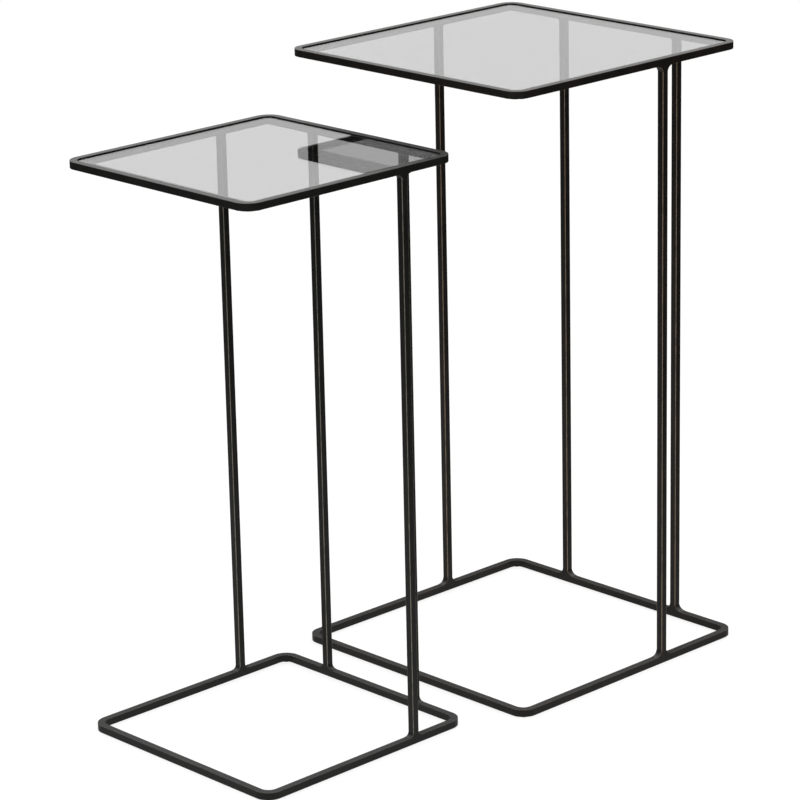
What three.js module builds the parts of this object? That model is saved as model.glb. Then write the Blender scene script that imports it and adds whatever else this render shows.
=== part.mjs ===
// Two nesting side tables of welded square steel bar, one large and one small, of the same design.
// Each has a closed base ring on the floor, a closed top ring, four legs near its back half, so
// that its front is open from the floor to the top, and a loose pane of smoked glass let into the
// top ring.
//
// Millimetres, +Z up. +X is to the right and +Y to the back of both tables: the small table stands
// in front of the large one's open side, and moves along +Y towards it. The origin is on the floor,
// at the middle of the ground that the two tables cover.
import * as THREE from "three";

// Driving dimensions of the two tables. sideLegY is how far the legs on the two side rails stand
// behind the table's middle, and backLegX how far the two legs on the back rail stand from it.
// A table's fillet is the radius of the weld fillets at its legs' ends.
const LARGE = { name: "large", side: 350, height: 695, sideLegY: 53, backLegX: 86, fillet: 8 };
const SMALL = { name: "small", side: 287, height: 635, sideLegY: 70, backLegX: 70, fillet: 5 };
const TABLE_GAP = 52; // clear floor between the small table's back rail and the large one's front
const SMALL_SHIFT_X = -7; // the small table stands this far to the left of the large one's middle

// Driving dimensions that both tables share.
const BAR = 8; // the square bar of every ring and leg
const BEND_RADIUS = 18; // outer radius of a ring's bent corner
const WELD_GAP = 0.3; // between a weld and each of the bars that it joins
const WELD_ROOT = 0.4; // thickness of the weld between a leg's end and its rail
const WELD_TOE = 0.5; // thickness of a weld fillet at its thin ends

const GLASS_RECESS = 1.2; // from the top ring's upper face down to the glass
const GLASS_THICKNESS = 3;
const GLASS_CLEARANCE = 1; // all round the pane, inside the ring
const BUMPER_GAP = 0.2; // between a bumper and the glass that rests on it

const LEDGE_WIDTH = 13; // flat strip inside the top ring, flush with its underside
const LEDGE_THICKNESS = 1.5;
const LEDGE_INNER_RADIUS = 3;

const BUMPER_RADIUS = 4;
const BUMPER_INSET = 7; // from the ledge's two outer edges in to a bumper's middle
const GLIDE_RADIUS = 3.5;
const GLIDE_THICKNESS = 0.8;

const ARC_STEPS = 4; // half the number of straight steps in a quarter circle
const ROUND_STEPS = 20; // sides of a bumper or a glide

const ringRadius = { outer: BEND_RADIUS, inner: BEND_RADIUS - BAR };
const bumperThickness = BAR - LEDGE_THICKNESS - GLASS_RECESS - GLASS_THICKNESS - BUMPER_GAP;

const frameMetal = new THREE.MeshStandardMaterial({ color: 0x2b2824, roughness: 0.45, metalness: 0.7 });
const smokedGlass = new THREE.MeshStandardMaterial({
  color: 0x8d9091,
  roughness: 0.05,
  metalness: 0,
  transparent: true,
  opacity: 0.4,
});
const clearSilicone = new THREE.MeshStandardMaterial({ color: 0xdfe4e4, roughness: 0.35, metalness: 0 });
const greyFelt = new THREE.MeshStandardMaterial({ color: 0x3c3b39, roughness: 0.95, metalness: 0 });

function named(name, geometry, material) {
  const mesh = new THREE.Mesh(geometry, material);
  mesh.name = name;
  return mesh;
}

// A square with round corners, centred on the origin, added to a shape or to a hole's path.
function roundedSquare(path, side, radius) {
  const half = side / 2;
  const flat = half - radius;
  path.moveTo(flat, -half);
  path.absarc(flat, -flat, radius, -Math.PI / 2, 0);
  path.lineTo(half, flat);
  path.absarc(flat, flat, radius, 0, Math.PI / 2);
  path.lineTo(-flat, half);
  path.absarc(-flat, flat, radius, Math.PI / 2, Math.PI);
  path.lineTo(-half, -flat);
  path.absarc(-flat, -flat, radius, Math.PI, 1.5 * Math.PI);
  path.closePath();
  return path;
}

function extruded(shape, depth) {
  return new THREE.ExtrudeGeometry(shape, { depth, bevelEnabled: false, curveSegments: ARC_STEPS });
}

// A flat closed ring of rectangular section, lying on z = 0.
function ringGeometry(side, width, thickness, outerRadius, innerRadius) {
  const outline = roundedSquare(new THREE.Shape(), side, outerRadius);
  outline.holes.push(roundedSquare(new THREE.Path(), side - 2 * width, innerRadius));
  return extruded(outline, thickness);
}

// One closed ring of the square bar, bent to round corners.
function barRing(name, side) {
  return named(name, ringGeometry(side, BAR, BAR, ringRadius.outer, ringRadius.inner), frameMetal);
}

// The weld between a leg's end and its rail: a thin root under the end of the bar, and on each side
// of the bar a concave fillet that runs out along the rail. It is drawn in the plane of the rail,
// lying on z = 0 with the leg above it, and extruded to the bar's thickness.
function weldGeometry(fillet) {
  const seat = BAR / 2 + WELD_GAP;
  const crest = WELD_TOE + fillet;
  const reach = seat + crest;
  const shape = new THREE.Shape();
  shape.moveTo(-reach, 0);
  shape.lineTo(reach, 0);
  shape.lineTo(reach, WELD_TOE);
  shape.absarc(reach, crest, fillet, -Math.PI / 2, -Math.PI, true);
  shape.lineTo(seat, crest);
  shape.lineTo(seat, WELD_ROOT);
  shape.lineTo(-seat, WELD_ROOT);
  shape.lineTo(-seat, crest);
  shape.absarc(-reach, crest, fillet, 0, -Math.PI / 2, true);
  shape.closePath();
  const geometry = extruded(shape, BAR);
  geometry.translate(0, 0, -BAR / 2);
  geometry.rotateX(Math.PI / 2);
  return geometry;
}

// A leg and the two welds at its ends, standing on the base ring at its own place in the table.
function weldedLeg(table, place) {
  const geometry = weldGeometry(table.fillet);
  const footWeld = named(`${table.name}_weld_${place.name}_foot`, geometry, frameMetal);
  footWeld.position.z = GLIDE_THICKNESS + BAR + WELD_GAP;
  const headWeld = named(`${table.name}_weld_${place.name}_head`, geometry, frameMetal);
  headWeld.position.z = table.height - BAR - WELD_GAP;
  headWeld.rotation.x = Math.PI;

  const bottom = footWeld.position.z + WELD_ROOT + WELD_GAP;
  const top = headWeld.position.z - WELD_ROOT - WELD_GAP;
  const bar = new THREE.BoxGeometry(BAR, BAR, top - bottom);
  const leg = named(`${table.name}_leg_${place.name}`, bar, frameMetal);
  leg.position.z = (bottom + top) / 2;

  const group = new THREE.Group();
  group.add(footWeld, leg, headWeld);
  group.position.set(place.x, place.y, 0);
  group.rotation.z = place.turn;
  return group;
}

// The four legs: one on each side rail, turned to run along it, and two on the back rail.
function weldedLegs(table) {
  const rail = (table.side - BAR) / 2;
  const places = [
    { name: "left", x: -rail, y: table.sideLegY, turn: Math.PI / 2 },
    { name: "back_left", x: -table.backLegX, y: rail, turn: 0 },
    { name: "back_right", x: table.backLegX, y: rail, turn: 0 },
    { name: "right", x: rail, y: table.sideLegY, turn: Math.PI / 2 },
  ];
  return places.map((place) => weldedLeg(table, place));
}

// The flat strip that carries the glass, inside the top ring and flush with its underside.
function glassLedge(table) {
  const side = table.side - 2 * (BAR + WELD_GAP);
  const outerRadius = ringRadius.inner - WELD_GAP;
  const geometry = ringGeometry(side, LEDGE_WIDTH, LEDGE_THICKNESS, outerRadius, LEDGE_INNER_RADIUS);
  const mesh = named(`${table.name}_glass_ledge`, geometry, frameMetal);
  mesh.position.z = table.height - BAR;
  return mesh;
}

// The loose pane, a little below the top ring's upper face.
function glassPane(table) {
  const side = table.side - 2 * (BAR + GLASS_CLEARANCE);
  const outline = roundedSquare(new THREE.Shape(), side, ringRadius.inner - GLASS_CLEARANCE);
  const mesh = named(`${table.name}_glass_pane`, extruded(outline, GLASS_THICKNESS), smokedGlass);
  mesh.position.z = table.height - GLASS_RECESS - GLASS_THICKNESS;
  return mesh;
}

// Four equal discs, one at each corner of a square, at the distance inset from the table's sides.
function cornerDiscs(table, name, radius, thickness, inset, bottom, material) {
  const reach = table.side / 2 - inset;
  const corners = [
    [-reach, -reach],
    [reach, -reach],
    [reach, reach],
    [-reach, reach],
  ];
  return corners.map(([x, y], index) => {
    const geometry = new THREE.CylinderGeometry(radius, radius, thickness, ROUND_STEPS);
    geometry.rotateX(Math.PI / 2);
    const mesh = named(`${table.name}_${name}_${index + 1}`, geometry, material);
    mesh.position.set(x, y, bottom + thickness / 2);
    return mesh;
  });
}

// Clear silicone dots on the ledge's corners, which the glass rests on.
function bumpers(table) {
  const bottom = table.height - BAR + LEDGE_THICKNESS;
  const inset = BAR + WELD_GAP + BUMPER_INSET;
  return cornerDiscs(table, "bumper", BUMPER_RADIUS, bumperThickness, inset, bottom, clearSilicone);
}

// Felt dots under the middle of the base ring's four bends.
function glides(table) {
  const middle = BEND_RADIUS - BAR / 2;
  const inset = BEND_RADIUS - middle * Math.SQRT1_2;
  return cornerDiscs(table, "glide", GLIDE_RADIUS, GLIDE_THICKNESS, inset, 0, greyFelt);
}

function sideTable(table, x, y) {
  const baseRing = barRing(`${table.name}_base_ring`, table.side);
  baseRing.position.z = GLIDE_THICKNESS;
  const topRing = barRing(`${table.name}_top_ring`, table.side);
  topRing.position.z = table.height - BAR;
  const group = new THREE.Group();
  group.add(baseRing, topRing, ...weldedLegs(table), glassLedge(table), glassPane(table));
  group.add(...bumpers(table), ...glides(table));
  group.position.set(x, y, 0);
  return group;
}

// The two tables share the ground evenly about the origin, front to back.
const halfDepth = (LARGE.side + TABLE_GAP + SMALL.side) / 2;
const nestingTables = new THREE.Group();
nestingTables.add(
  sideTable(LARGE, 0, halfDepth - LARGE.side / 2),
  sideTable(SMALL, SMALL_SHIFT_X, SMALL.side / 2 - halfDepth),
);

export default nestingTables;
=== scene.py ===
"""Two nesting side tables of welded, blackened steel bar, with let-in panes of smoked glass.

Everything is in metres, +Z up, +X to the right and +Y to the back of both tables. Places and
sizes come from the loaded frame, so each piece stands where its rigid part does.
"""
import math

import bmesh
import bpy
from bpy.props import FloatProperty, FloatVectorProperty, IntProperty, PointerProperty
from mathutils import Matrix, Vector, noise


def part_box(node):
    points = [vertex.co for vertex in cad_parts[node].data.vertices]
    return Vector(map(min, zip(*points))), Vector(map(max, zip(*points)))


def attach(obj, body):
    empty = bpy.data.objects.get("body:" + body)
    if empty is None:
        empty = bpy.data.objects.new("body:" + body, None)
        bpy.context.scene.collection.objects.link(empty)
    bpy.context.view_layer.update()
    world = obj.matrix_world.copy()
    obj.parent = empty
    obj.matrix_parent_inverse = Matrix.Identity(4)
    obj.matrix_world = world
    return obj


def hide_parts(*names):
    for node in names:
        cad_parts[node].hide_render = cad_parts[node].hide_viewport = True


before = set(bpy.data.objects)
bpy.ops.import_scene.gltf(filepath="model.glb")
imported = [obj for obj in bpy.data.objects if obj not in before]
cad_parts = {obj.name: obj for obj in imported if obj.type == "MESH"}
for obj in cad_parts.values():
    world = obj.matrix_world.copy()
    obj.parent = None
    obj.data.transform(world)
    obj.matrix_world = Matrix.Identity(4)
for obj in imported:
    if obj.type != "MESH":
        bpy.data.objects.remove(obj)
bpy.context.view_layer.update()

bl_info = {
    "name": "Nesting Tables",
    "version": (1, 0, 0),
    "blender": (4, 5, 0),
    "location": "3D View > Sidebar > Tables",
    "description": "Builds two nesting side tables of blackened steel bar and smoked glass",
    "category": "Add Mesh",
}

TABLES = ("large", "small")
LEG_PLACES = ("left", "back_left", "back_right", "right")
SIDE_RAIL_LEGS = ("left", "right")  # their rail runs from front to back
CORNERS = (1, 2, 3, 4)

SHARP_TURN = math.radians(60)  # an edge that turns more than this is eased
SMOOTH_TURN = math.radians(35)  # facets that turn less than this shade as one curve
SAME_LEVEL = 1e-6  # points closer than this stand at the same level


# ---------------------------------------------------------------------------------------------
# Settings
# ---------------------------------------------------------------------------------------------

def box_size(node):
    low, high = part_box(node)
    return high - low


class BarSettings(bpy.types.PropertyGroup):
    """Sizes of the welded square bar that both frames are made of."""

    bar: FloatProperty(
        name="Bar", description="Width of the square bar", unit="LENGTH",
        default=box_size("large_base_ring").z,
    )
    bend_radius: FloatProperty(
        name="Bend radius", description="Outer radius of a ring's bent corner", unit="LENGTH",
        default=0.018,
    )
    ring_arris: FloatProperty(
        name="Ring arris", description="Radius of the long edges of a ring's bar",
        unit="LENGTH", default=0.00025,
    )
    leg_arris: FloatProperty(
        name="Leg arris", description="Radius that a leg's long edges are rubbed down to",
        unit="LENGTH", default=0.00055,
    )
    weld_toe: FloatProperty(
        name="Weld toe", description="Thickness of a weld fillet where it runs out on its rail",
        unit="LENGTH", default=0.0005,
    )
    weld_stray: FloatProperty(
        name="Weld stray", description="How far a hand-ground weld strays from a true curve",
        unit="LENGTH", default=0.0003,
    )
    joint_swell: FloatProperty(
        name="Joint swell", description="How far a ring's closing weld stands proud of the bar",
        unit="LENGTH", default=0.00035,
    )


class TopSettings(bpy.types.PropertyGroup):
    """Sizes of what fills a table's top, and of the dots under its glass and its base."""

    ledge_width: FloatProperty(
        name="Ledge width", description="Width of the strip that carries the glass",
        unit="LENGTH", default=0.013,
    )
    ledge_edge: FloatProperty(
        name="Ledge edge", description="Rounding of the glass ledge's sheared edges",
        unit="LENGTH", default=0.0003,
    )
    glass_corner: FloatProperty(
        name="Glass corner", description="Radius of the pane's ground corners", unit="LENGTH",
        default=0.009,
    )
    glass_edge: FloatProperty(
        name="Glass edge", description="Width of the polished bevel round the pane",
        unit="LENGTH", default=0.0006,
    )
    dot_edge: FloatProperty(
        name="Dot edge", description="Rounding of a bumper's or a glide's rim", unit="LENGTH",
        default=0.0005,
    )
    round_steps: IntProperty(
        name="Round steps", description="Sides of a bumper or a glide", default=40, min=12,
    )


class FinishSettings(bpy.types.PropertyGroup):
    """What a user would change of the finishes."""

    lacquer_roughness: FloatProperty(
        name="Lacquer roughness", description="Roughness of the satin lacquer on the steel",
        default=0.34, min=0, max=1,
    )
    glass_tint: FloatVectorProperty(
        name="Glass tint", description="Tint of the smoked glass", subtype="COLOR", size=3,
        default=(0.48, 0.48, 0.48), min=0, max=1,
    )


class StageSettings(bpy.types.PropertyGroup):
    """Where the camera stands, and the plain studio round the tables."""

    camera_place: FloatVectorProperty(
        name="Camera place", description="Where the camera stands", subtype="XYZ",
        unit="LENGTH", size=3, default=(2.6098, -2.5073, 1.4691),
    )
    camera_heading: FloatProperty(
        name="Heading", description="Turn to the left from looking straight back",
        subtype="ANGLE", default=math.radians(46.307),
    )
    camera_pitch: FloatProperty(
        name="Pitch", description="How far the camera looks down", subtype="ANGLE",
        default=math.radians(17.520),
    )
    camera_roll: FloatProperty(
        name="Roll", description="How far the camera leans to its right", subtype="ANGLE",
        default=math.radians(1.233),
    )
    camera_lens: FloatProperty(
        name="Lens", description="Focal length in millimetres", default=156.16,
    )
    floor_radius: FloatProperty(
        name="Floor radius", description="Radius of the pale floor", unit="LENGTH", default=3.0,
    )


GROUPS = {
    "nesting_bar": BarSettings,
    "nesting_top": TopSettings,
    "nesting_finish": FinishSettings,
    "nesting_stage": StageSettings,
}


# ---------------------------------------------------------------------------------------------
# Materials
# ---------------------------------------------------------------------------------------------

# How large the features of each pattern are, and how deep their relief.
CLOUD_SIZE = 0.030
# the rub patches spread both the wear and the painted highlight along the arrises
RUB_AND_HIGHLIGHT_SIZE = 0.018
MARK_SIZE = 0.0009  # real brush and scale marks are near 0.2 mm; drawn coarser, so that they show
MARK_DEPTH = 0.00003
WAVE_SIZE = 0.12
WAVE_DEPTH = 0.00002
DUST_SIZE = 0.0008
FIBRE_SIZE = 0.0003  # wool fibres are 0.03 mm thick; their flecks are drawn coarser, so they show
FIBRE_DEPTH = 0.0001
PAPER_SIZE = 0.004

WORN_METAL = 0.75  # how metallic a fully worn arris is
LEAST_RUB_AND_HIGHLIGHT = 0.35  # how much of its wear and painted highlight an arris keeps where it is rubbed least

# The two tables came out of different blackening baths. Each worn colour is both bare metal on the
# arrises and a painted highlight along them.
STEELS = {
    "large": {"skin": "#0A0806", "warm_skin": "#130E09", "worn_and_highlight": "#AC967F"},
    "small": {"skin": "#090908", "warm_skin": "#0F0F0B", "worn_and_highlight": "#A09A8A"},
}


def linear(hex_colour):
    """An sRGB colour written as hex, as linear red, green, blue and a full alpha."""
    channels = [int(hex_colour[i:i + 2], 16) / 255 for i in (1, 3, 5)]
    light = [c / 12.92 if c <= 0.04045 else ((c + 0.055) / 1.055) ** 2.4 for c in channels]
    return (*light, 1)


WHITE = linear("#FFFFFF")


def add(tree, kind, sockets=None, **settings):
    """Add a node with its settings. A socket is given a constant, or an output to link to it."""
    made = tree.nodes.new(kind)
    for name, value in settings.items():
        setattr(made, name, value)
    for name, value in (sockets or {}).items():
        if isinstance(value, bpy.types.NodeSocket):
            tree.links.new(value, made.inputs[name])
        else:
            made.inputs[name].default_value = value
    return made


def new_tree(name):
    """A new material's empty node tree, with the place of a point on the piece."""
    material = bpy.data.materials.new(name)
    material.use_nodes = True
    tree = material.node_tree
    tree.nodes.clear()
    return material, tree, add(tree, "ShaderNodeTexCoord").outputs["Object"]


def show(tree, shader):
    add(tree, "ShaderNodeOutputMaterial", {"Surface": shader.outputs[0]})


def grain(tree, place, size, detail=2.0, roughness=0.5):
    """Noise from 0 to 1 whose features are about size metres across."""
    sockets = {"Vector": place, "Scale": 1 / size, "Detail": detail, "Roughness": roughness}
    return add(tree, "ShaderNodeTexNoise", sockets).outputs["Fac"]


def ramp(tree, value, low, high, to_low=0.0, to_high=1.0):
    """The value's stretch from low to high, spread smoothly from to_low to to_high."""
    sockets = {
        "Value": value, "From Min": low, "From Max": high, "To Min": to_low, "To Max": to_high,
    }
    made = add(tree, "ShaderNodeMapRange", sockets, interpolation_type="SMOOTHSTEP")
    return made.outputs["Result"]


def math_node(tree, operation, a, b):
    return add(tree, "ShaderNodeMath", {0: a, 1: b}, operation=operation).outputs[0]


def mix_colour(tree, factor, a, b):
    """Colour a where factor is 0, and b where it is 1."""
    return add(tree, "ShaderNodeMix", {0: factor, 6: a, 7: b}, data_type="RGBA").outputs[2]


def relief(tree, height, distance, strength=1.0):
    sockets = {"Height": height, "Distance": distance, "Strength": strength}
    return add(tree, "ShaderNodeBump", sockets).outputs["Normal"]


def blackened_steel(name, skin, warm_skin, worn_and_highlight):
    """Hot-rolled mild steel bar, blackened and sealed with a thin satin lacquer.

    The lacquer gives a nearly black face a soft sheen that grows at a low angle. The skin under
    it is cloudy, and worn thin on the rolled arrises, where dull metal shows. The light colour on
    the arrises is also a painted highlight.
    """
    material, tree, place = new_tree(name)
    cloud = ramp(tree, grain(tree, place, CLOUD_SIZE, 3), 0.35, 0.65)
    marks = grain(tree, place, MARK_SIZE, 3, 0.6)
    arris = add(tree, "ShaderNodeAttribute", attribute_name="arris").outputs["Fac"]
    rub_and_highlight = ramp(tree, grain(tree, place, RUB_AND_HIGHLIGHT_SIZE, 4, 0.65), 0.38, 0.62, LEAST_RUB_AND_HIGHLIGHT, 1.0)
    # the arris colour is partly real wear and partly a painted highlight along the edges
    wear_and_highlight = math_node(tree, "MULTIPLY", arris, rub_and_highlight)
    bare_skin = mix_colour(tree, cloud, linear(skin), linear(warm_skin))
    roughness = bpy.context.scene.nesting_finish.lacquer_roughness
    shader = add(tree, "ShaderNodeBsdfPrincipled", {
        "Base Color": mix_colour(tree, wear_and_highlight, bare_skin, linear(worn_and_highlight)),
        "Metallic": math_node(tree, "MULTIPLY", wear_and_highlight, WORN_METAL),
        "Roughness": ramp(tree, marks, 0.3, 0.7, roughness - 0.05, roughness + 0.07),
        "Normal": relief(tree, marks, MARK_DEPTH, 0.6),
    })
    show(tree, shader)
    return material


def smoked_glass():
    """Float glass tinted grey in the melt, with polished edges.

    It dims what is behind it to a little under half and mirrors its surroundings at a low angle.
    Float glass is very slightly wavy over a hand's breadth.
    """
    material, tree, place = new_tree("smoked float glass")
    tint = (*bpy.context.scene.nesting_finish.glass_tint, 1)
    shader = add(tree, "ShaderNodeBsdfPrincipled", {
        "Base Color": tint,
        "Roughness": 0.0,
        "IOR": 1.52,
        "Transmission Weight": 1.0,
        "Normal": relief(tree, grain(tree, place, WAVE_SIZE, 0), WAVE_DEPTH, 0.5),
    })
    show(tree, shader)
    return material


def clear_silicone():
    """Cast clear silicone rubber: milky, soft-edged, a little dusty on its skin."""
    material, tree, place = new_tree("cast clear silicone")
    dust = ramp(tree, grain(tree, place, DUST_SIZE, 2), 0.45, 0.7)
    shader = add(tree, "ShaderNodeBsdfPrincipled", {
        "Base Color": mix_colour(tree, dust, linear("#C9CDCB"), linear("#A9AAA6")),
        "Roughness": ramp(tree, dust, 0.0, 1.0, 0.3, 0.5),
        "IOR": 1.41,
        "Transmission Weight": 0.7,
    })
    show(tree, shader)
    return material


def grey_felt():
    """Needled wool felt: matt, hairy at its rim, flecked lighter and darker by its fibres."""
    material, tree, place = new_tree("needled grey felt")
    fibres = grain(tree, place, FIBRE_SIZE, 3, 0.7)
    shader = add(tree, "ShaderNodeBsdfPrincipled", {
        "Base Color": mix_colour(
            tree, ramp(tree, fibres, 0.35, 0.65), linear("#2E2D2B"), linear("#565451")
        ),
        "Roughness": 0.95,
        "Sheen Weight": 0.4,
        "Normal": relief(tree, fibres, FIBRE_DEPTH),
    })
    show(tree, shader)
    return material


# ---------------------------------------------------------------------------------------------
# Modelling
# ---------------------------------------------------------------------------------------------

def bevel(bm, geom, offset, segments, affect="EDGES"):
    return bmesh.ops.bevel(
        bm, geom=geom, offset=offset, offset_type="OFFSET", segments=segments, profile=0.5,
        affect=affect, material=-1, clamp_overlap=True,
    )


def raise_faces(bm, vector):
    """Extrude a flat sheet of faces along vector into a closed solid, with its faces outwards."""
    made = bmesh.ops.extrude_face_region(bm, geom=bm.faces[:])
    risen = [g for g in made["geom"] if isinstance(g, bmesh.types.BMVert)]
    bmesh.ops.translate(bm, verts=risen, vec=vector)
    bmesh.ops.recalc_face_normals(bm, faces=bm.faces[:])


def ease_arrises(bm, offset, segments=3, worn_and_highlight=1.0, wanted=lambda edge: True):
    """Round the sharp edges, and mark on the new faces how far their finish is worn and how strong
    their painted highlight is.
    """
    mark = bm.faces.layers.float.new("arris")
    sharp = [e for e in bm.edges if e.calc_face_angle(0) > SHARP_TURN and wanted(e)]
    for face in bevel(bm, sharp, offset, segments)["faces"]:
        face[mark] = worn_and_highlight


def rounded_square(bm, half, radius, steps):
    """One flat face with round corners, centred on the origin."""
    bmesh.ops.create_grid(bm, x_segments=1, y_segments=1, size=half)
    bevel(bm, bm.verts[:], radius, steps, affect="VERTICES")


def cut_out(bm, width):
    """Leave only a band of the given width round a flat face."""
    whole = bm.faces[:]
    bmesh.ops.inset_region(
        bm, faces=whole, thickness=width, use_boundary=True, use_even_offset=True
    )
    bmesh.ops.delete(bm, geom=whole, context="FACES_ONLY")


def set_down(bm, low, high):
    """Move a solid that stands on the origin into the place of its rigid part."""
    middle = (low + high) / 2
    bmesh.ops.translate(bm, verts=bm.verts[:], vec=(middle.x, middle.y, low.z))


def finish(bm, name, material, nodes, body):
    """Make the mesh a piece that stands for its rigid parts, and rides on their body."""
    mesh = bpy.data.meshes.new(name)
    bm.to_mesh(mesh)
    bm.free()
    mesh.materials.append(material)
    piece = bpy.data.objects.new(name, mesh)
    bpy.context.scene.collection.objects.link(piece)
    mesh.shade_smooth()
    mesh.set_sharp_from_angle(angle=SMOOTH_TURN)
    flats = piece.modifiers.new("flat faces stay flat", "WEIGHTED_NORMAL")
    flats.keep_sharp = True
    flats.weight = 100
    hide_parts(*nodes)
    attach(piece, body)


def finish_steel(bm, name, table, nodes):
    """Make the mesh a piece of the table's welded frame, in the table's own steel."""
    steel_name = f"{table} table blackened lacquered steel"
    steel = bpy.data.materials.get(steel_name) or blackened_steel(steel_name, **STEELS[table])
    finish(bm, name, steel, nodes, f"{table}_frame")


class NESTING_OT_bar_rings(bpy.types.Operator):
    """Make the closed base ring and top ring of each table from one bent bar each"""

    bl_idname = "nesting.bar_rings"
    bl_label = "Bar Rings"

    BEND_STEPS = 12
    # how far a ring's arrises are worn and carry the painted highlight
    WEAR_AND_HIGHLIGHT = 0.2
    JOINT_REACH = 0.012  # how far a closing weld runs either way from the middle of its bend
    JOINT_SAG = 0.8  # how far a closing weld stands out below, as a share of the same at the sides
    JOINT_LUMPS = 400  # how fine its lumps are
    BEND_MARGIN = 0.0001  # the swell starts this far before the bend does

    def execute(self, context):
        for table in TABLES:
            for level in ("base", "top"):
                self.ring(context.scene.nesting_bar, table, level)
        return {"FINISHED"}

    def ring(self, sizes, table, level):
        node = f"{table}_{level}_ring"
        low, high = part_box(node)
        bm = bmesh.new()
        rounded_square(bm, (high.x - low.x) / 2, sizes.bend_radius, self.BEND_STEPS)
        cut_out(bm, sizes.bar)
        raise_faces(bm, (0, 0, high.z - low.z))
        ease_arrises(bm, sizes.ring_arris, worn_and_highlight=self.WEAR_AND_HIGHLIGHT)
        set_down(bm, low, high)
        self.swell_joint(bm, sizes, low, high)
        finish_steel(bm, f"{table}_{level}_ring_bar", table, [node])

    def swell_joint(self, bm, sizes, low, high):
        """The ring's ends meet in its right front bend; the ground weld is left a little fat."""
        swing = sizes.bend_radius - sizes.bar / 2
        centre = Vector((high.x - sizes.bend_radius, low.y + sizes.bend_radius))
        for vert in bm.verts:
            out = vert.co.xy - centre
            if out.x < -self.BEND_MARGIN or out.y > self.BEND_MARGIN:
                continue
            run = abs(math.atan2(out.y, out.x) + math.pi / 4) * swing
            if run > self.JOINT_REACH:
                continue
            fat = math.cos(run / self.JOINT_REACH * math.pi / 2) ** 0.5
            lump = 0.6 + 0.8 * noise.noise(vert.co * self.JOINT_LUMPS)
            push = out.normalized() * (1 if out.length > swing else -1)
            down = -self.JOINT_SAG if vert.co.z < (low.z + high.z) / 2 else 0
            vert.co += Vector((*push, down)) * sizes.joint_swell * fat * lump
            vert.co.x = min(vert.co.x, high.x)
            vert.co.y = max(vert.co.y, low.y)


class NESTING_OT_welded_legs(bpy.types.Operator):
    """Make the four legs of each table, with the ground weld fillets at both ends"""

    bl_idname = "nesting.welded_legs"
    bl_label = "Welded Legs"

    FILLET_STEPS = 8
    FILLET_WEAR_AND_HIGHLIGHT = 0.15  # the finish lasts in the hollow of a weld, and the painted highlight is dimmer there
    STRAY_LUMPS = 150  # how fine the unevenness of a fillet is
    STRAY_SHIFT = 900  # takes the two tables' fillets to different lumps

    def execute(self, context):
        for table in TABLES:
            for place in LEG_PLACES:
                self.leg(context.scene.nesting_bar, table, place)
        return {"FINISHED"}

    def leg(self, sizes, table, place):
        nodes = [
            f"{table}_leg_{place}",
            f"{table}_weld_{place}_foot",
            f"{table}_weld_{place}_head",
        ]
        low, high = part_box(nodes[0])
        foot_low, foot_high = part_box(nodes[1])
        across = "y" if place in SIDE_RAIL_LEGS else "x"  # the way that the rail runs
        reach = (getattr(foot_high, across) - getattr(foot_low, across)) / 2
        fillet = foot_high.z - foot_low.z - sizes.weld_toe
        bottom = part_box(f"{table}_base_ring")[1].z
        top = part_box(f"{table}_top_ring")[0].z

        # Half the leg's outline in the plane of its rail: its foot covers the rail's upper
        # arris, runs out along the rail as the toe, and turns up into the side of the bar.
        half = sizes.bar / 2
        toe, buried = sizes.weld_toe, sizes.ring_arris
        side = [
            (reach, bottom - buried), (reach, bottom + toe), (half, bottom + toe),
            (half, top - toe), (reach, top - toe), (reach, top + buried),
        ]
        outline = side + [(-x, z) for x, z in reversed(side)]
        bm = bmesh.new()
        verts = [bm.verts.new((x, -half, z)) for x, z in outline]
        bm.faces.new(verts)
        turns = [v for v, (x, z) in zip(verts, outline) if abs(x) == half]
        bevel(bm, turns, fillet, self.FILLET_STEPS, affect="VERTICES")
        self.stray(bm, sizes, half, reach, (bottom + toe, top - toe))
        raise_faces(bm, (0, sizes.bar, 0))

        def on_outline(edge):
            """True for the long edges, and not for the ends, which are buried in the rails."""
            return not all(
                v.co.z < bottom - buried / 2 or v.co.z > top + buried / 2 for v in edge.verts
            )

        ease_arrises(bm, sizes.leg_arris, wanted=on_outline)
        mark = bm.faces.layers.float["arris"]
        for face in bm.faces:
            if abs(face.calc_center_median().x) > half:
                face[mark] *= self.FILLET_WEAR_AND_HIGHLIGHT
        turn = Matrix.Rotation(math.pi / 2 if across == "y" else 0, 4, "Z")
        middle = (low + high) / 2
        stand = Matrix.Translation((middle.x, middle.y, 0)) @ turn
        bmesh.ops.transform(bm, matrix=stand, verts=bm.verts[:])
        finish_steel(bm, f"{table}_welded_leg_{place}", table, nodes)

    def stray(self, bm, sizes, half, reach, ends):
        """Move the points of the fillets a little, as a hand-ground weld is never quite true."""
        shift = Vector((0, reach * self.STRAY_SHIFT, 0))
        for vert in bm.verts:
            if half < abs(vert.co.x) < reach and ends[0] < vert.co.z < ends[1]:
                lump = noise.noise(vert.co * self.STRAY_LUMPS + shift)
                vert.co.x -= math.copysign(sizes.weld_stray * (0.5 + lump), vert.co.x)


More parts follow.
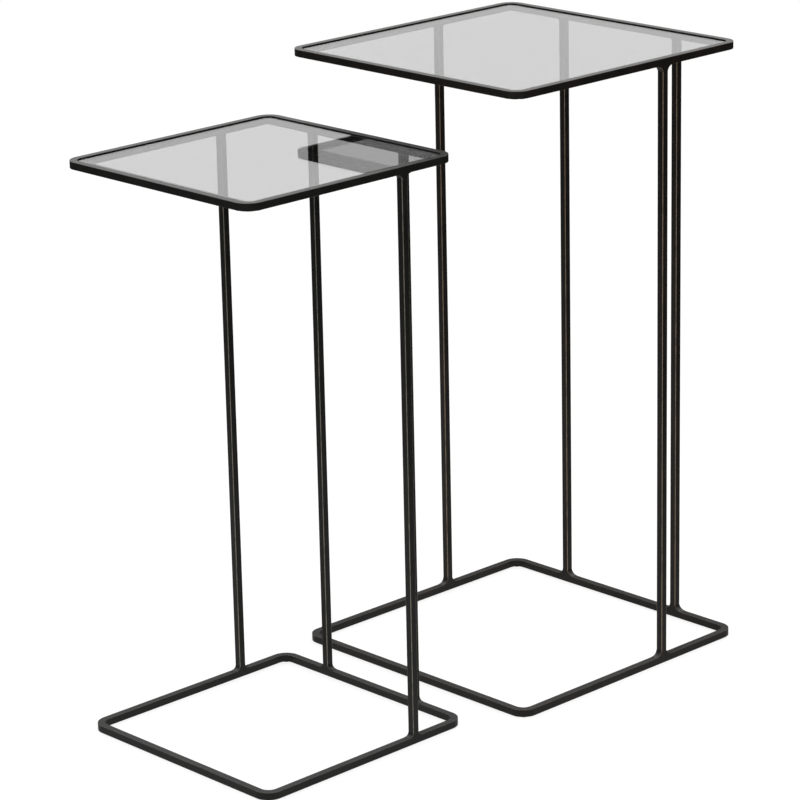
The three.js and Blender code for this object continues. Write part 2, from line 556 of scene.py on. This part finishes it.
class NESTING_OT_glass_ledges(bpy.types.Operator):
    """Make the strip inside each top ring that carries the glass"""

    bl_idname = "nesting.glass_ledges"
    bl_label = "Glass Ledges"

    CORNER_STEPS = 8
    OVERLAP = 0.0001  # how far the strip runs into the bar that it is welded to

    def execute(self, context):
        for table in TABLES:
            self.ledge(context.scene, table)
        return {"FINISHED"}

    def ledge(self, scene, table):
        node = f"{table}_glass_ledge"
        low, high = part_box(node)
        ring_low, ring_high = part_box(f"{table}_top_ring")
        sizes = scene.nesting_bar
        # It is welded to the ring, so it reaches the bar's inner face.
        half = (ring_high.x - ring_low.x) / 2 - sizes.bar + self.OVERLAP
        width = half - (high.x - low.x) / 2 + scene.nesting_top.ledge_width
        bm = bmesh.new()
        rounded_square(bm, half, sizes.bend_radius - sizes.bar, self.CORNER_STEPS)
        cut_out(bm, width)
        raise_faces(bm, (0, 0, high.z - low.z))
        ease_arrises(bm, scene.nesting_top.ledge_edge, segments=2)
        set_down(bm, low, high)
        finish_steel(bm, f"{table}_glass_ledge_strip", table, [node])


class NESTING_OT_glass_panes(bpy.types.Operator):
    """Make the loose pane of smoked glass in each top"""

    bl_idname = "nesting.glass_panes"
    bl_label = "Glass Panes"

    CORNER_STEPS = 12

    def execute(self, context):
        sizes = context.scene.nesting_top
        glass = smoked_glass()
        for table in TABLES:
            node = f"{table}_glass_pane"
            low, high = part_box(node)
            bm = bmesh.new()
            rounded_square(bm, (high.x - low.x) / 2, sizes.glass_corner, self.CORNER_STEPS)
            raise_faces(bm, (0, 0, high.z - low.z))
            ease_arrises(bm, sizes.glass_edge, segments=2)
            set_down(bm, low, high)
            finish(bm, f"{table}_smoked_pane", glass, [node], f"{table}_glass")
        return {"FINISHED"}


def corner_dot(node, name, material, body, sizes, domed_end):
    """A soft disc with a rounded rim. Its domed end is "upper" or "lower", and the other flat."""
    low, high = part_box(node)
    radius = (high.x - low.x) / 2
    bm = bmesh.new()
    bmesh.ops.create_circle(bm, cap_ends=True, radius=radius, segments=sizes.round_steps)
    raise_faces(bm, (0, 0, high.z - low.z))
    level = high.z - low.z if domed_end == "upper" else 0

    def on_domed_end(edge):
        return all(abs(v.co.z - level) < SAME_LEVEL for v in edge.verts)

    ease_arrises(bm, sizes.dot_edge, segments=4, wanted=on_domed_end)
    set_down(bm, low, high)
    finish(bm, name, material, [node], body)


class NESTING_OT_bumpers(bpy.types.Operator):
    """Make the clear silicone bumpers on the ledges, which the panes rest on"""

    bl_idname = "nesting.bumpers"
    bl_label = "Glass Bumpers"

    def execute(self, context):
        silicone = clear_silicone()
        for table in TABLES:
            for corner in CORNERS:
                corner_dot(
                    f"{table}_bumper_{corner}", f"{table}_silicone_bumper_{corner}", silicone,
                    f"{table}_frame", context.scene.nesting_top, "upper",
                )
        return {"FINISHED"}


class NESTING_OT_glides(bpy.types.Operator):
    """Make the felt glides under the bends of the base rings"""

    bl_idname = "nesting.glides"
    bl_label = "Felt Glides"

    def execute(self, context):
        felt = grey_felt()
        for table in TABLES:
            for corner in CORNERS:
                corner_dot(
                    f"{table}_glide_{corner}", f"{table}_felt_glide_{corner}", felt,
                    f"{table}_frame", context.scene.nesting_top, "lower",
                )
        return {"FINISHED"}


# ---------------------------------------------------------------------------------------------
# Stage
# ---------------------------------------------------------------------------------------------

FLOOR_GLOW = 0.78

# The pool of light that glossy surfaces see on the floor, from its middle out to its rim.
POOL_CENTRE = (-0.2, -0.2, 0)
POOL_REACH = (0.25, 1.8)
POOL_BRIGHTNESS = (0.35, 0.03)

# The dim room that glossy surfaces see: a little brighter on the lit side, and bright overhead.
LIT_SIDE = (-0.7, -0.7, 0)
WALL_BRIGHTNESS = (0.015, 0.07)
CEILING_BRIGHTNESS = 0.7

# Upright lamps. Behind is how far past the tables each one stands from the camera.
SOFTBOXES = {
    "back softbox": {
        "behind": 1.35, "middle": 1.545, "width": 4.6, "height": 1.43, "brightness": 0.95,
    },
    "front softbox": {
        "behind": -1.8, "middle": 1.5, "width": 5.6, "height": 1.4, "brightness": 0.8,
    },
}


def not_in_gloss(tree):
    """0 for what a glossy surface mirrors, and 1 for all other light, also through glass."""
    depth = add(tree, "ShaderNodeLightPath").outputs["Glossy Depth"]
    return math_node(tree, "LESS_THAN", depth, 0.5)


def pale_floor():
    """White paper sweep: blown out to the eye, and a pool of light to a glossy surface."""
    material, tree, place = new_tree("white paper floor")
    seen = not_in_gloss(tree)
    fibres = grain(tree, place, PAPER_SIZE, 2)
    paper = add(tree, "ShaderNodeBsdfDiffuse", {
        "Color": mix_colour(tree, fibres, linear("#858585"), linear("#8E8E8E")),
    })
    glow = add(tree, "ShaderNodeEmission", {"Color": WHITE, "Strength": FLOOR_GLOW})
    bright = add(tree, "ShaderNodeAddShader", {0: paper.outputs[0], 1: glow.outputs[0]})
    reach = add(
        tree, "ShaderNodeVectorMath", {0: place, 1: POOL_CENTRE}, operation="DISTANCE"
    ).outputs["Value"]
    pool = add(tree, "ShaderNodeEmission", {
        "Color": WHITE,
        "Strength": ramp(tree, reach, *POOL_REACH, *POOL_BRIGHTNESS),
    })
    show(tree, add(tree, "ShaderNodeMixShader", {
        0: seen, 1: pool.outputs[0], 2: bright.outputs[0],
    }))
    return material


def studio_world(scene):
    """White behind everything, with a dim room round it for the glossy surfaces."""
    world = bpy.data.worlds.new("studio room")
    world.use_nodes = True
    tree = world.node_tree
    tree.nodes.clear()
    seen = not_in_gloss(tree)
    direction = add(tree, "ShaderNodeTexCoord").outputs["Generated"]
    height = add(tree, "ShaderNodeSeparateXYZ", {0: direction}).outputs["Z"]
    towards_lit_side = add(
        tree, "ShaderNodeVectorMath", {0: direction, 1: LIT_SIDE}, operation="DOT_PRODUCT"
    ).outputs["Value"]
    walls = ramp(tree, towards_lit_side, -0.8, 0.8, *WALL_BRIGHTNESS)
    room = add(tree, "ShaderNodeBackground", {
        "Color": WHITE,
        "Strength": ramp(tree, height, 0.1, 0.7, walls, CEILING_BRIGHTNESS),
    })
    white = add(tree, "ShaderNodeBackground", {"Color": WHITE, "Strength": 1.0})
    mixed = add(tree, "ShaderNodeMixShader", {0: seen, 1: room.outputs[0], 2: white.outputs[0]})
    add(tree, "ShaderNodeOutputWorld", {"Surface": mixed.outputs[0]})
    scene.world = world


def softbox(name, place, width, height, brightness):
    """Make an upright soft lamp of an even brightness, which the camera doesn't see."""
    lamp = bpy.data.lights.new(name, "AREA")
    lamp.shape = "RECTANGLE"
    lamp.size, lamp.size_y = width, height
    lamp.energy = brightness * math.pi * width * height
    made = bpy.data.objects.new(name, lamp)
    bpy.context.scene.collection.objects.link(made)
    made.location = place
    inwards = Vector((-place.x, -place.y, 0))
    made.rotation_euler = inwards.to_track_quat("-Z", "Y").to_euler()
    made.visible_camera = False


class NESTING_OT_stage(bpy.types.Operator):
    """Make the pale floor, the studio light and the camera"""

    bl_idname = "nesting.stage"
    bl_label = "Stage"

    FLOOR_STEPS = 96
    SENSOR_WIDTH = 36  # millimetres

    def execute(self, context):
        scene = context.scene
        self.floor(scene)
        studio_world(scene)
        behind = Matrix.Rotation(scene.nesting_stage.camera_heading, 3, "Z") @ Vector((0, 1, 0))
        for name, box in SOFTBOXES.items():
            place = behind * box["behind"] + Vector((0, 0, box["middle"]))
            softbox(name, place, box["width"], box["height"], box["brightness"])
        self.camera(scene)
        scene.view_settings.view_transform = "Standard"
        return {"FINISHED"}

    def floor(self, scene):
        radius = scene.nesting_stage.floor_radius
        bm = bmesh.new()
        bmesh.ops.create_circle(bm, cap_ends=True, radius=radius, segments=self.FLOOR_STEPS)
        mesh = bpy.data.meshes.new("studio_floor")
        bm.to_mesh(mesh)
        bm.free()
        mesh.materials.append(pale_floor())
        floor = bpy.data.objects.new("studio_floor", mesh)
        scene.collection.objects.link(floor)

    def camera(self, scene):
        sizes = scene.nesting_stage
        lens = bpy.data.cameras.new("studio_camera")
        lens.sensor_width = self.SENSOR_WIDTH
        lens.lens = sizes.camera_lens
        camera = bpy.data.objects.new("studio_camera", lens)
        scene.collection.objects.link(camera)
        heading = Matrix.Rotation(sizes.camera_heading, 4, "Z")
        pitch = Matrix.Rotation(math.pi / 2 - sizes.camera_pitch, 4, "X")
        roll = Matrix.Rotation(-sizes.camera_roll, 4, "Z")
        camera.matrix_world = Matrix.Translation(sizes.camera_place) @ heading @ pitch @ roll
        scene.camera = camera


# ---------------------------------------------------------------------------------------------
# Add-on
# ---------------------------------------------------------------------------------------------

PIECE_OPERATORS = (
    NESTING_OT_bar_rings,
    NESTING_OT_welded_legs,
    NESTING_OT_glass_ledges,
    NESTING_OT_glass_panes,
    NESTING_OT_bumpers,
    NESTING_OT_glides,
)


class NESTING_PT_tables(bpy.types.Panel):
    """Lists the pieces and their settings"""

    bl_idname = "NESTING_PT_tables"
    bl_label = "Nesting Tables"
    bl_space_type = "VIEW_3D"
    bl_region_type = "UI"
    bl_category = "Tables"

    def draw(self, context):
        layout = self.layout
        for group, kind in GROUPS.items():
            box = layout.box()
            for name in kind.__annotations__:
                box.prop(getattr(context.scene, group), name)
        for operator in (*PIECE_OPERATORS, NESTING_OT_stage):
            layout.operator(operator.bl_idname)


CLASSES = (*GROUPS.values(), *PIECE_OPERATORS, NESTING_OT_stage, NESTING_PT_tables)


def register():
    for kind in CLASSES:
        bpy.utils.register_class(kind)
    for name, kind in GROUPS.items():
        setattr(bpy.types.Scene, name, PointerProperty(type=kind))


def unregister():
    for name in GROUPS:
        delattr(bpy.types.Scene, name)
    for kind in reversed(CLASSES):
        bpy.utils.unregister_class(kind)


def main():
    register()
    bpy.ops.nesting.bar_rings()
    bpy.ops.nesting.welded_legs()
    bpy.ops.nesting.glass_ledges()
    bpy.ops.nesting.glass_panes()
    bpy.ops.nesting.bumpers()
    bpy.ops.nesting.glides()
    bpy.ops.nesting.stage()


if __name__ == "__main__":
    main()
